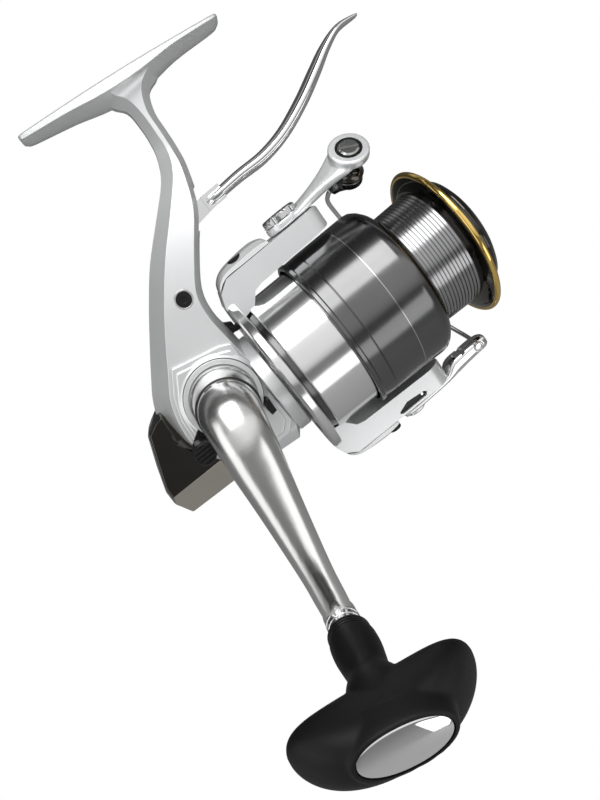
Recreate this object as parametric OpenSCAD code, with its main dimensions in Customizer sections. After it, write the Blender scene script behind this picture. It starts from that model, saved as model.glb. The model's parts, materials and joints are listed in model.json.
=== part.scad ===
// Lever-brake spinning reel. Millimetres.
// Row frame: origin at the middle of the foot's flat top, +X towards the rod tip, +Z up into the rod.
// The mechanism has its own frame: X along the spool axis, Y along the handle axis, x = 0 at the drive axis.

/* [Foot] */
// Length of the foot along the rod
foot_length = 57; // [54:0.5:60]
// Width of the foot at its middle
foot_width = 14; // [12:0.5:15]
// Nose-up tilt of the spool axis against the foot
foot_tilt = 7.5; // [6:0.5:9]

/* [Spool] */
// Outside radius of the spool's front lip
lip_radius = 23.6; // [23.4:0.1:23.8]
// Outside radius of the spool skirt
skirt_radius = 24.3; // [24.1:0.1:24.4]
// Travel of the spool to each side of its middle
half_stroke = 6; // [4:0.5:6]
// Number of fine grooves in the line lay
lay_grooves = 11; // [8:1:11]

/* [Rotor] */
// Outside radius of the rotor's rear flange
flange_radius = 26.7; // [26:0.1:27]
// Outside radius of the rotor cup
cup_radius = 22.5; // [22.3:0.1:22.6]
// Width of each rotor arm
arm_width = 13; // [12:0.5:14]
// Thickness of the bail wire
wire_diameter = 1.4; // [1.2:0.1:1.8]

/* [Drive] */
// Teeth on the drive gear
gear_teeth = 46; // [46:46]
// Teeth on the pinion
pinion_teeth = 10; // [10:10]

/* [Handle] */
// Centre distance from the drive axis to the knob axis
crank_length = 57.6; // [55:0.1:60]
// Backward lean of the crank at rest
crank_lean = 11.2; // [9:0.2:13]
// Overall length of the T knob
knob_length = 44.6; // [42:0.2:46]

/* [Hidden] */

$fn = 64;
run = 0.05;                       // radial running clearance
gap = 0.35;                       // clearance between moving neighbours
cut = 0.5;                        // how far a cutter overshoots a face

foot_centre = [30.3, 0, 85.4];    // middle of the foot's top in the mechanism frame
drive_height = 8.3;               // drive axis above the spool axis
cover_face = 9.5;                 // half thickness of the body under its covers
plate_face = 11.2;                // outer face of the side covers
boss_face = 12.9;                 // outer face of the drive bosses
shaft_radius = 1.25;
drive_radius = 2.5;
neck_front = 15.3;                // front of the body's neck
pivot_x = 43;                     // bail pivots along the spool axis
stem_slot = 3.2;                  // half width of the slot that holds the brake lever
lever_pivot = [22.5, 0, 49.5];
rod_top = [16.6, 0, 47.4];
rod_foot = [9.4, 0, 23.6];
crank_dir = [-sin(crank_lean), 0, -cos(crank_lean)];
crank_side = [cos(crank_lean), 0, -sin(crank_lean)];
knob_point = [0, 0, drive_height] + crank_length * crank_dir;
roller_point = [67, -5, 37];      // centre of the arm's disc that holds the line roller
roller_dir = [-0.209, 0.732, -0.649];

// ---------- placing ----------

module reel() rotate([0, -foot_tilt, 0]) translate(-foot_centre) children();

module rod_x(x0, x1, r) translate([x0, 0, 0]) rotate([0, 90, 0]) cylinder(h = x1 - x0, r = r);

module rod_y(y0, y1, r, x = 0, z = 0) translate([x, y0, z]) rotate([-90, 0, 0]) cylinder(h = y1 - y0, r = r);

module rod_z(z0, z1, r, x = 0, y = 0) translate([x, y, z0]) cylinder(h = z1 - z0, r = r);

module ring_x(x0, x1, r, bore) difference() {
    rod_x(x0, x1, r);
    rod_x(x0 - cut, x1 + cut, bore);
}

module ring_y(y0, y1, r, bore, x = 0, z = 0) difference() {
    rod_y(y0, y1, r, x, z);
    rod_y(y0 - cut, y1 + cut, bore, x, z);
}

// Turned part about the spool axis; the outline is a list of [x, radius].
module lathe_x(outline) rotate([0, 90, 0]) rotate_extrude() polygon([for (p = outline) [p[1], p[0]]]);

// Turned part about an axis along -Y at point p; the outline is a list of [distance along -Y, radius].
module lathe_out(outline, p) translate(p) rotate([90, 0, 0]) rotate_extrude()
    polygon([for (q = outline) [q[1], q[0]]]);

// A plate with its outline in XZ, between two places along Y.
module plate_y(y0, y1, outline) translate([0, y1, 0]) rotate([90, 0, 0])
    linear_extrude(y1 - y0) polygon(outline);

// Turn the Z axis to the direction d and move to the point p.
module aim(p, d) translate(p) rotate([0, acos(d[2] / norm(d)), atan2(d[1], d[0])]) children();

// Round rod between two points.
module between(p, q, r) aim(p, q - p) cylinder(h = norm(q - p), r = r);

// ---------- skins and sweeps ----------

// Closed skin over rings of points; every ring runs anticlockwise about the direction of travel.
module skin(rings) {
    n = len(rings[0]);
    last = len(rings) - 1;
    sides = [for (i = [0:last - 1], j = [0:n - 1]) [
        i * n + j, (i + 1) * n + j, (i + 1) * n + (j + 1) % n, i * n + (j + 1) % n
    ]];
    caps = [[for (j = [0:n - 1]) j], [for (j = [n - 1:-1:0]) last * n + j]];
    polyhedron([for (ring = rings) each ring], concat(sides, caps), convexity = 6);
}

function unit(v) = v / norm(v);

// Catmull-Rom point between b and c.
function blend(a, b, c, d, t) =
    ((2 * b) + (c - a) * t + (2 * a - 5 * b + 4 * c - d) * t * t + (3 * b - a - 3 * c + d) * t * t * t) / 2;

// A smooth run through a list of vectors, with steps points for each span.
function smooth(p, steps) = let (last = len(p) - 1) concat(
    [for (i = [0:last - 1], s = [0:steps - 1])
        blend(p[max(i - 1, 0)], p[i], p[i + 1], p[min(i + 2, last)], s / steps)],
    [p[last]]);

function tangent(path, i) = unit(path[min(i + 1, len(path) - 1)] - path[max(i - 1, 0)]);

// Elliptical ring about a direction; side is the direction of the half width a.
function ring(centre, dir, side, a, b, n) = let (u = unit(side - (side * dir) * dir), v = cross(dir, u))
    [for (k = [0:n - 1]) centre + a * cos(360 * k / n) * u + b * sin(360 * k / n) * v];

// Sweep along a list of [x, y, z, half width, half thickness].
module limb(stations, side, n) {
    path = [for (s = stations) [s[0], s[1], s[2]]];
    skin([for (i = [0:len(path) - 1])
        ring(path[i], tangent(path, i), side, stations[i][3], stations[i][4], n)]);
}

// Open coil spring about Z, drawn as a sweep of a thin wire.
module coil(r, wire, turns, length) {
    steps = 12 * turns;
    path = [for (i = [0:steps]) [r * cos(30 * i), r * sin(30 * i), length * i / steps]];
    skin([for (i = [0:steps]) ring(path[i], tangent(path, i), [0, 0, 1], wire / 2, wire / 2, 6)]);
}

// ---------- gears ----------

// Straight-sided teeth; root and tip are each tooth's width as a share of the pitch.
function tooth_outline(teeth, r_root, r_tip, root, tip, phase) = [
    for (i = [0:teeth - 1], e = [[-root, r_root], [-tip, r_tip], [tip, r_tip], [root, r_root]])
        let (a = 360 * (i + phase) / teeth + e[0] * 180 / teeth)
        [e[1] * cos(a), e[1] * sin(a)]
];

pinion_pitch = 2.4;
contact_x = pinion_pitch * gear_teeth / pinion_teeth;
gear_face = 3.15;
gear_radius = 14.6;
crown_tooth = 0.32;               // width of the drive gear's face teeth
crosswind_teeth = 28;
crosswind_pinion_teeth = 14;
crosswind_pitch = 7;
crosswind_span = 1.5 * crosswind_pitch;
crosswind_x = -4;
crosswind_z = drive_height - sqrt(crosswind_span * crosswind_span - crosswind_x * crosswind_x);
crosswind_heading = atan2(drive_height - crosswind_z, -crosswind_x);

// ---------- frame ----------

// Foot stations: distance along the rod, half width, edge thickness, keel depth, each as a share of its size.
foot_stations = [
    [-0.5, 0.56, 1.0, 1.9], [-0.46, 0.7, 1.4, 2.7], [-0.26, 0.9, 1.9, 3.7], [-0.1, 1, 2.6, 5.2],
    [0.1, 1, 2.4, 5], [0.26, 0.9, 1.3, 3.3], [0.46, 0.7, 0.9, 2.4], [0.5, 0.56, 0.7, 1.6]
];

// Stem and housing stations, from the foot down: rear outer edge, rear face edge, front face edge and
// front outer edge as [x, z], then the half width.
body_stations = [
    [[24, 84], [26, 84], [38, 84], [40, 83], 6.3],
    [[24.7, 80.9], [26.7, 82], [37, 81.8], [38.5, 79.8], 6],
    [[27, 78.1], [28.8, 79.4], [33.5, 80], [34.6, 78.3], 5.2],
    [[27.4, 74.3], [29.6, 75], [31, 75.3], [32.6, 74], 4.8],
    [[27.1, 69.6], [29.5, 69.9], [30.6, 69.9], [32.3, 69.6], 4.7],
    [[26, 65.4], [29, 65.1], [30.2, 64.8], [31.9, 64.4], 4.8],
    [[23, 60.6], [26.6, 60.2], [29.2, 59.6], [30.9, 59.2], 5.6],
    [[15.8, 54.3], [19.6, 53.2], [25.3, 50.8], [27.3, 50.2], 7.5],
    [[7.3, 47], [11.5, 45.7], [18.5, 42.6], [20.4, 42], 9],
    [[-0.1, 39], [4.2, 37.7], [12.3, 34.4], [14.3, 33.7], cover_face],
    [[-6.3, 31.6], [-1.7, 30.4], [10.8, 27.4], [12.7, 26.9], cover_face],
    [[-12.3, 24.2], [-7.3, 22.8], [11.2, 20.2], [13.3, 20], cover_face],
    [[-17, 17.8], [-11.8, 16.6], [12, 12], [13.7, 12], cover_face],
    [[-19.8, 10.8], [-14.3, 9.8], [12, 4], [13.7, 4], cover_face],
    [[-19.4, 2.8], [-15.2, 2.2], [12, -4], [13.7, -4], cover_face],
    [[-16, -7], [-12.8, -5.6], [11.6, -10], [13.5, -11], cover_face],
    [[-11, -12.4], [-9.3, -10.8], [10.6, -12.6], [12.6, -14], cover_face],
    [[-8.6, -14.4], [-7.6, -14.5], [9.6, -16], [11, -16.1], 7.5]
];
ridge = 1.6;                      // half width of the rounded front and rear edges

function body_ring(s) = [
    [s[3][0], ridge, s[3][1]], [s[3][0], -ridge, s[3][1]],
    [s[2][0], -s[4], s[2][1]], [s[1][0], -s[4], s[1][1]],
    [s[0][0], -ridge, s[0][1]], [s[0][0], ridge, s[0][1]],
    [s[1][0], s[4], s[1][1]], [s[2][0], s[4], s[2][1]]
];

module column() skin([for (s = body_stations) body_ring(s)]);

module foot_blade() skin([for (s = foot_stations) let (x = s[0] * foot_length, w = s[1] * foot_width / 2) [
    [x, w, -0.4], [x, -w, -0.4], [x, -w, -s[2]], [x, -0.45 * w, -s[3]], [x, 0.45 * w, -s[3]], [x, w, -s[2]]
]]);

// Flat pad that bears on the rod's reel seat.
module foot_pad() translate([0, 0, -0.6]) linear_extrude(0.6) polygon(concat(
    [for (s = foot_stations) [s[0] * foot_length, s[1] * foot_width / 2]],
    [for (i = [len(foot_stations) - 1:-1:0]) [foot_stations[i][0], -foot_stations[i][1] / 2]
        * [[foot_length, 0], [0, foot_width]]]));

lever_slot = [[14.2, 45.6], [14.2, 50.8], [18.2, 52.8], [36, 55.8], [36, 46.4], [25, 45.6]];
cavity = [
    [-6, 19], [8, 17], [10.2, 12], [10.2, -3.5], [4, -9.6], [-7.2, -9.6], [-12.8, -4], [-12.8, 9.5], [-10, 15]
];
slider_room = [[-12.3, 6.2], [-5, 7], [-5, -9.8], [-12.3, -9.8]];
tail_window = [[-17.4, 3], [-17.4, -3], [-12, -3], [-12, 3]];
drum_window = [[7.8, 17.1], [7.8, 27], [16, 27], [16, 17.1]];
cover_screw_places = [[-4.8, 20.8], [8, -8.8], [-8, -7.8]];
stem_screw_place = [8.6, 35];

module body() color("silver") {
    foot_pad();
    foot_blade();
    reel() difference() {
        union() {
            column();
            rod_x(11.3, neck_front, 16);
            rod_x(neck_front - cut, 24, 9.5);
        }
        plate_y(-cover_face - 1, cover_face + 1, cavity);
        plate_y(-stem_slot, stem_slot, lever_slot);
        plate_y(-1.9, 1.9, tail_window);
        rod_y(1.9, 7, gear_radius + 0.25, 0, drive_height);
        between(rod_foot, rod_top, 1.35);
        plate_y(-2.8, 2.8, drum_window);
        rod_x(8, 25, 4);
        rod_x(16, 20.1, 6.6);
        rod_x(20.1 - cut, 25, 7.6);
        rod_y(-6, 6, 1, lever_pivot[0], lever_pivot[2]);
        rod_y(-12, -3.9, 2.4, stem_screw_place[0], stem_screw_place[1]);
        plate_y(-4.3, 4.3, slider_room);
        for (p = cover_screw_places) rod_y(7, 14, 1.2 + run, p[0], p[1]);
    }
}

cover_outline = [
    [-6.0, 23.3], [8, 20.1], [11.1, 18.6], [11.1, -9], [8, -12], [-6.5, -12], [-11.5, -6.5], [-14.4, 2],
    [-13.2, 10.5], [-10.6, 16.8]
];

// Side cover with a bearing seat and whatever stands on it; side is -1 for the handle side.
module cover(side) {
    mirror([0, side < 0 ? 1 : 0, 0]) difference() {
        union() {
            plate_y(cover_face, plate_face, cover_outline);
            rod_y(8.7, plate_face, 8.2, 0, drive_height);
            children();
        }
        rod_y(8, 12.2, 6.5, 0, drive_height);
        rod_y(8, 20, 4.2, 0, drive_height);
        if (side > 0) for (p = cover_screw_places) rod_y(8, 14, 1.2 + run, p[0], p[1]);
    }
}

// The handle side's boss has a groove at its foot for the ring of the reverse lever.
module right_cover() color("silver") reel() {
    cover(-1) {
        rod_y(plate_face - cut, boss_face, 9.9, 0, drive_height);
        rod_y(12.2, boss_face, 11, 0, drive_height);
    }
    rod_y(-cover_face - cut, -4.7, 0.95, crosswind_x, crosswind_z);
}

module left_cover() color("silver") reel() cover(1) rod_y(plate_face - cut, 12.6, 10, 0, drive_height);

module cover_screws() color("dimgray") reel() for (p = cover_screw_places) difference() {
    union() {
        rod_y(7.2, plate_face + 0.1, 1.2, p[0], p[1]);
        rod_y(plate_face, 12, 1.8, p[0], p[1]);
    }
    translate([p[0], 12, p[1]]) rotate([0, 45, 0]) cube([2.4, 0.8, 0.5], center = true);
}

module stem_screw() color("black") reel() rod_y(-7.4, -3.95, 2.38, stem_screw_place[0], stem_screw_place[1]);

guard_mid = [
    [-17, 14], [-20.2, 13.2], [-24.6, 10.9], [-31.6, -5], [-32, -9], [-31, -13.4], [-28.4, -15], [-12, -15]
];
guard_face = [[-15, 14.2], [-18.8, 14.2], [-22.8, 12.4], [-29.4, -2], [-29.8, -5.6], [-10, -5.6], [-8, -2]];

// Weighted tail guard that wraps the back of the housing.
module tail_guard() color("dimgray") reel() difference() {
    hull() {
        plate_y(-4.2, 4.2, guard_mid);
        plate_y(-9.2, 9.2, guard_face);
    }
    column();
    plate_y(-12, 12, cover_outline);
}

module right_bearing() color("lightgray") reel()
    ring_y(-12.15, -9.15, 6.45, drive_radius + 0.02, 0, drive_height);

module left_bearing() color("lightgray") reel()
    ring_y(9.15, 12.15, 6.45, drive_radius + 0.02, 0, drive_height);

module left_cap() color("silver") reel() difference() {
    lathe_out([[0, 0], [0, 6.4], [1.4, 7], [2.6, 7], [2.6, 4.1], [2.95, 4.1], [2.95, 0]],
        [0, 15.2, drive_height]);
    rod_y(10, 12.9, drive_radius + 0.5, 0, drive_height);
}

// Two-ended reverse lever: a ring in the groove of the handle boss, with a ridged grip and a small tab.
grip = [-13.2, 1];

module reverse_lever() color("black") reel() {
    difference() {
        union() {
            rod_y(-12.15, -11.55, 11, 0, drive_height);
            plate_y(-12.15, -11.55, [[-16.2, -2.4], [-16.2, 3], [-9.6, 7], [-6.5, -1.5]]);
            plate_y(-12.15, -11.55, [[5, -0.8], [8.8, 4.2], [8.8, -3], [6.8, -3.2]]);
        }
        rod_y(-20, -10, 9.9 + run, 0, drive_height);
    }
    plate_y(-15.4, -11.55, [[7.4, -3], [7.4, -0.4], [8.9, 1.2], [8.9, -3]]);
    difference() {
        rod_y(-18.6, -11.55, 3.3, grip[0], grip[1]);
        rod_y(-20, -10, 11.2, 0, drive_height);
        for (z = [-2:1.3:3.2]) translate([grip[0] - 4, -19, grip[1] + z - 1]) cube([8, 0.9, 0.5]);
    }
}

// ---------- brake ----------

lever_blade = smooth([
    [29, 0, 49.6, 2.4, 1.6], [33, 0, 49.6, 4.2, 1.4], [40.5, 0, 49.8, 4.8, 1.5], [48.5, 0, 49.6, 5, 1.6],
    [56.5, 0, 50.9, 5, 1.6], [65, 0, 54, 4.8, 1.6], [72, 0, 57.4, 4.4, 1.5], [77.5, 0, 60.2, 3.8, 1.2],
    [82.8, 0, 61.9, 3, 0.8], [88.4, 0, 61.5, 1.6, 0.4]
], 3);

lever_root = [[14.9, 48.3], [15.2, 50.2], [19, 51.6], [34, 51.9], [34, 48.1], [24, 47], [18.5, 47.2]];

module brake_lever() color("gainsboro") reel() difference() {
    union() {
        limb(lever_blade, [0, 1, 0], 12);
        plate_y(-1.5, 1.5, lever_root);
        plate_y(-2.6, 2.6, [[28.8, 51.9], [34.6, 51.9], [34.6, 47.8], [28.8, 47.8]]);
    }
    rod_y(-4, 4, 1 + run, lever_pivot[0], lever_pivot[2]);
}

module lever_pin() color("lightgray") reel() rod_y(-5.9, 5.9, 1, lever_pivot[0], lever_pivot[2]);

module lever_spring() color("gray") reel()
    translate([lever_pivot[0], 1.75, lever_pivot[2]]) rotate([-90, 0, 0]) coil(1.6, 0.35, 3, 1.15);

// Push rod that runs down the stem.
module brake_rod() color("gray") reel() between(rod_foot, rod_top, 1);

// Shoe on the push rod, with the finger that bears on the brake drum.
module brake_shoe() color("black") reel() difference() {
    union() {
        plate_y(-1.8, 1.8, [[8.7, 18.8], [8.7, 25.2], [15, 21.4], [15, 18.8]]);
        plate_y(-2.4, 2.4, [[14.4, 18.7], [14.4, 20], [22.5, 20], [22.5, 18.7]]);
    }
    between(rod_foot, rod_top, 1);
}

// ---------- drive ----------

module drive_gear() color("goldenrod") reel() translate([0, 0, drive_height]) {
    difference() {
        union() {
            rod_y(gear_face, 5.2, gear_radius);
            rod_y(gear_face, 8.4, 5);
            intersection() {
                rod_y(gear_face - 1.2, gear_face + cut, gear_radius);
                for (i = [0:gear_teeth - 1]) rotate([0, 360 * i / gear_teeth, 0])
                    translate([contact_x - 1.3, gear_face - 0.95, -drive_height - crown_tooth / 2])
                        cube([2.6, 1.2, crown_tooth]);
            }
        }
        rod_y(0, 9, drive_radius);
        for (i = [0:4]) rotate([0, 72 * i + 20, 0]) rod_y(2, 7, 1.6, 8.2, 0);
    }
}

module drive_shaft() color("lightgray") reel() translate([0, 0, drive_height]) {
    rod_y(-27.3, 12.3, drive_radius);
    translate([0, -5.35, 0]) rotate([90, 0, 0]) linear_extrude(1.35)
        polygon(tooth_outline(
            crosswind_pinion_teeth, 3, 3.9, 0.46, 0.2,
            (crosswind_heading + 180) * crosswind_pinion_teeth / 360
        ));
}

module handle_collar() color("silver") reel() difference() {
    lathe_out([[0, 0], [0, 9.4], [2.9, 9.4], [3.4, 8.9], [11.4, 8.3], [13, 7.9], [13, 0]],
        [0, -boss_face - gap, drive_height]);
    rod_y(-30, -10, drive_radius, 0, drive_height);
}

module handle_seal() color("black") reel() ring_y(-27.3, -26.26, 8.05, drive_radius, 0, drive_height);

module handle_screw() color("goldenrod") reel() rod_y(-33.6, -27.32, 2.6, 0, drive_height);

// ---------- handle ----------

function crank_at(d, y) = [0, y, drive_height] + d * crank_dir;

arm_stations = smooth([
    concat(crank_at(-0.4, -27.35), [7.8, 7.8]), concat(crank_at(-0.3, -30), [8, 8]),
    concat(crank_at(0.9, -33.4), [7.9, 7.6]), concat(crank_at(5, -36.6), [7.4, 6.8]),
    concat(crank_at(12, -38.2), [6.9, 5.9]), concat(crank_at(22.5, -39.8), [5.9, 5.1]),
    concat(crank_at(34, -41.5), [5, 4.5]), concat(crank_at(45, -43), [4.3, 4]),
    concat(crank_at(52.5, -43.9), [4.2, 3.8]), concat(crank_at(57, -44.5), [3.9, 3.4])
], 2);

module handle_arm() color("silver") reel() difference() {
    union() {
        limb(arm_stations, crank_side, 20);
        rod_y(-46.6, -41.6, 4.5, knob_point[0], knob_point[2]);
    }
    rod_y(-27.32, -20, 12, 0, drive_height);
    rod_y(-33.7, -20, 2.6, 0, drive_height);
    rod_y(-52, -46.62, 9, knob_point[0], knob_point[2]);
    rod_y(-50, -40, 2.5, knob_point[0], knob_point[2]);
    for (x = [-1.6, 2.2]) translate([x, -30.6, drive_height]) cube([2.6, 1.6, 12]);
}

module arm_ferrule() color("white") reel()
    ring_y(-51.6, -46.65, 4.6, 2.1, knob_point[0], knob_point[2]);

module knob_shaft() color("lightgray") reel() {
    rod_y(-46.6, -42, 2.5, knob_point[0], knob_point[2]);
    rod_y(-84.2, -46.6, 2, knob_point[0], knob_point[2]);
}

module knob_screw() color("gray") reel() rod_y(-85.6, -84.22, 3.2, knob_point[0], knob_point[2]);

module knob_collar() color("black") reel() difference() {
    lathe_out([[0, 0], [0, 5], [0.8, 5.6], [3.2, 5.8], [3.2, 0]], [knob_point[0], -51.95, knob_point[2]]);
    rod_y(-60, -40, 2 + run, knob_point[0], knob_point[2]);
}

knob_back = -55.2;
knob_waist = [
    [0, 0], [0, 5.9], [4.8, 6], [8.8, 5.6], [12.8, 5.15], [14.8, 5.3], [17.6, 6.6], [21.6, 7.6], [25.6, 7.6],
    [25.6, 0]
];

// The T bar runs along bar_dir; its back is nearly straight and its front is a full arc.
knob_turn = -13.9;
bar_dir = [cos(knob_turn), 0, sin(knob_turn)];
bar_side = [-sin(knob_turn), 0, cos(knob_turn)];
bar_half = 7.9;                   // half thickness of the bar
bar_lean = 2.4;                   // how far each end is set back or forward of the middle
bar_places = [-0.997, -0.97, -0.9, -0.78, -0.6, -0.4, -0.2, 0, 0.2, 0.4, 0.6, 0.78, 0.9, 0.97, 0.997];

function fullness(x, power) = 1 - pow(abs(x), power);

function soft(v) = sign(v) * pow(abs(v), 0.8);

function bar_ring(x) = let (
    front = -80.7 - 11.3 * fullness(x, 2.1),
    back = -75.4 + 2 * fullness(x, 2),
    depth = (back - front) / 2 * sqrt(fullness(x, 6)),
    half = bar_half * sqrt(fullness(x, 6.8)),
    along = (x * knob_length / 2 - 0.4) * bar_dir,
    middle = [knob_point[0], (front + back) / 2 + bar_lean * x, knob_point[2]] + along - bar_side
) [for (a = [0:15:345]) middle + [0, depth * soft(cos(a)), 0] + half * soft(sin(a)) * bar_side];

module knob() color("black") reel() difference() {
    union() {
        lathe_out(knob_waist, [knob_point[0], knob_back, knob_point[2]]);
        skin([for (x = bar_places) bar_ring(x)]);
        knob_face(-91.4, -86, 0.7);
    }
    rod_y(-88.2, -40, 3.6, knob_point[0], knob_point[2]);
    knob_face(-95, -90.4, 0.05);
    rod_y(-58.3, -50, 4.55, knob_point[0], knob_point[2]);
    rod_y(-84, -80, 4.55, knob_point[0], knob_point[2]);
}

// Rounded oval between two places along Y, in the T bar's direction.
module knob_face(y0, y1, grow) translate([knob_point[0], y1, knob_point[2]]) rotate([90, -knob_turn, 0])
    linear_extrude(y1 - y0) scale([1.97, 1]) circle(r = 5.2 + grow);

module knob_bearings() color("lightgray") reel() {
    ring_y(-58.2, -55.5, 4.5, 2 + 0.02, knob_point[0], knob_point[2]);
    ring_y(-83.6, -81, 4.5, 2 + 0.02, knob_point[0], knob_point[2]);
}

module knob_plate() color("white") reel() knob_face(-91.3, -90.45, 0);

// ---------- spool shaft and oscillation ----------

module crosswind_gear() color("goldenrod") reel() translate([crosswind_x, 0, crosswind_z]) difference() {
    union() {
        translate([0, -4.95, 0]) rotate([90, 0, 0]) linear_extrude(1.75)
            polygon(tooth_outline(
                crosswind_teeth, 6.5, 7.4, 0.46, 0.22,
                crosswind_heading * crosswind_teeth / 360 + 0.5
            ));
        rod_y(-5, -4.6, 7.2);
        rod_y(-4.7, -4.05, 0.9, half_stroke, 0);
    }
    rod_y(-8, -3, 0.95 + run);
}

module main_shaft() color("lightgray") reel() rod_x(-5.7, 80, shaft_radius);

// Crosshead on the rear of the spool shaft; its slot faces the crank pin of the crosswind gear.
module slider() color("goldenrod") reel() translate([crosswind_x, 0, 0]) difference() {
    plate_y(-3.7, 1.6, [[-1.8, -9.1], [-1.8, 5.3], [1.8, 5.3], [1.8, -9.1]]);
    rod_x(-1.75, 4, shaft_radius);
    plate_y(-4, -2, [[-1, -8.4], [-1, 6], [1, 6], [1, -8.4]]);
}

module spool_sleeve() color("lightgray") reel() ring_x(55.5, 71.9, 3.1, shaft_radius + run);

module drag_spring() color("gray") reel() translate([72.3, 0, 0]) rotate([0, 90, 0]) coil(3.6, 0.6, 4, 2.6);

// ---------- rotor ----------

module pinion() color("goldenrod") reel() difference() {
    union() {
        translate([8.2, 0, 0]) rotate([0, 90, 0]) linear_extrude(5.2)
            polygon(tooth_outline(pinion_teeth, 1.85, 2.85, 0.5, 0.24, 0.25 * pinion_teeth + 0.5));
        rod_x(13.2, 32, 3);
    }
    rod_x(7, 33, shaft_radius + run);
}

module pinion_bearing() color("lightgray") reel() ring_x(16.1, 20, 6.55, 3.03);

module one_way_clutch() color("gray") reel() ring_x(20.3, 23.9, 7.55, 3.03);

// Side outline of a rotor arm whose rounded end stands at x = tip.
function arm_outline(tip) = [
    [15.8, 19.8], [15.8, 25.6], [17.2, 29.4], [20.8, 31.9], [tip - 1, 31.9], [tip, 31], [tip, 25.7],
    [27.6, 25.2], [25.2, 24.6], [22.6, 21.6]
];
upper_tip = 52.8;
lower_tip = 56.8;

module rotor_arm(tip) intersection() {
    plate_y(-arm_width / 2, arm_width / 2, arm_outline(tip));
    union() {
        translate([15, -arm_width / 2 - 1, 0]) cube([tip - arm_width / 2 - 15, arm_width + 2, 40]);
        rod_z(0, 40, arm_width / 2, tip - arm_width / 2);
    }
}

cover_line = [
    [17.4, 29.7], [20.9, 32.05], [35.7, 32.05], [35.7, 33.2], [34.2, 34.1], [28, 33.8],
    [21.4, 32.9], [18.3, 31.1]
];

module rotor() color("silver") reel() difference() {
    union() {
        lathe_x([[15.8, 20.5], [15.8, flange_radius - 0.8], [16.6, flange_radius], [18.2, flange_radius],
            [18.6, 26], [18.6, 21], [20.6, 21], [20.6, cup_radius], [44, cup_radius], [44, 20.7],
            [31, 20.7], [31, 3.05],
            [28, 3.05], [28, 20.7]]);
        rotor_arm(upper_tip);
        mirror([0, 0, 1]) rotor_arm(lower_tip);
    }
    rod_x(15, 28, 20.5);
    rod_z(-40, 40, 1.6, pivot_x);
    plate_y(-2.4, 2.4, [[24, 28.4], [38, 28.4], [38, 30.6], [24, 30.6]]);
}

module rotor_nut() color("gold") reel() difference() {
    translate([31.1, 0, 0]) rotate([0, 90, 0]) cylinder(h = 2.6, r = 6, $fn = 6);
    rod_x(30, 35, 3 + run);
}

module brake_drum() color("gray") reel() ring_x(17, 27.95, 17.4, 16.2);

module arm_cover() intersection() {
    plate_y(-arm_width / 2, arm_width / 2, cover_line);
    rod_x(10, 50, 34.4);
}

module upper_arm_cover() color("silver") reel() difference() {
    arm_cover();
    rod_z(30, 40, 1.9, 25.5, -3.2);
}

module lower_arm_cover() color("silver") reel() difference() {
    mirror([0, 0, 1]) arm_cover();
    rod_z(-40, -30, 1.9, 31.5, -3.2);
}

module arm_cover_screws() color("black") reel() {
    rod_z(32.1, 33, 1.85, 25.5, -3.2);
    rod_z(-33, -32.1, 1.85, 31.5, -3.2);
}

module bail_spring() color("gray") reel()
    translate([24.6, 0, 29.5]) rotate([0, 90, 0]) coil(0.8, 0.45, 6, 12.6);

// ---------- bail ----------

module bail_arm() color("silver") reel() difference() {
    hull() {
        rod_z(32.3, 34.4, 5.2, pivot_x, $fn = 32);
        aim(roller_point - 1.3 * roller_dir, roller_dir) cylinder(h = 2.6, r = 5.6, $fn = 32);
    }
    rod_z(30, 36, 1.6 + run, pivot_x);
    aim(roller_point - 4 * roller_dir, roller_dir) cylinder(h = 8, r = 1.5);
    aim(roller_point - 4 * roller_dir, roller_dir) cylinder(h = 3.6, r = 3.2);
    aim(roller_point + 1.4 * roller_dir, roller_dir) cylinder(h = 12, r = 4.9);
    rod_z(34.4 + run, 50, 5.4 + gap, pivot_x);
}

// Pivot screws of both bail arms; the upper one has a notched cap.
module bail_pivots() color("white") reel() {
    rod_z(27.4, 34.6, 1.6, pivot_x);
    difference() {
        rod_z(34.5, 36.4, 5.3, pivot_x);
        for (a = [0:60:300]) translate([pivot_x, 0, 0]) rotate([0, 0, a]) rod_z(34, 37, 1, 5.6);
    }
    rod_z(-34.6, -27.4, 1.6, pivot_x);
    rod_z(-35.6, -34.5, 3.4, pivot_x);
}

holder_point = roller_point + 8.6 * roller_dir;

module wire_holder() color("gray") reel() difference() {
    union() {
        aim(roller_point + 7.5 * roller_dir, roller_dir) cylinder(h = 2.2, r = 3.9);
        hull() {
            aim(holder_point - roller_dir, roller_dir) cylinder(h = 2, r = 2.4, $fn = 24);
            translate(wire_points[0]) sphere(r = 1.3, $fn = 20);
        }
    }
    aim(roller_point, roller_dir) cylinder(h = 12, r = 1.5);
}

wire_points = [
    [59.6, 3, 31.6], [60.2, 11, 30.4], [62, 23, 27.6], [65.2, 35, 21.5], [67.6, 41.4, 13], [69.2, 44.6, 4],
    [70.2, 44.4, -5], [70.8, 40.4, -14], [71.4, 32, -22.5],
    [71.8, 21.6, -28.2], [71.6, 11, -31], [70.6, 4.5, -31], [70.4, 2.2, -31]
];

module bail_wire() color("silver") reel()
    limb(
        [for (p = smooth(wire_points, 3)) concat(p, [wire_diameter / 2, wire_diameter / 2])],
        [1, 0, 0.2], 10
    );

module bail_lever() color("white") reel() difference() {
    union() {
        hull() {
            rod_z(-34.4, -32.3, 5, pivot_x, $fn = 32);
            translate([58, -3.5, -34.4]) cube([2, 7, 2.1]);
        }
        hull() {
            translate([58, -3.2, -34.4]) cube([1, 6.4, 5.5]);
            translate([70.2, -2.8, -33.2]) cube([2.2, 6, 4.4]);
        }
    }
    rod_z(-36, -30, 1.6 + run, pivot_x);
    aim(wire_points[12] - [0, 0.6, 0], [0, 1, 0]) cylinder(h = 6, r = wire_diameter / 2 + 0.15);
}

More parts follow.
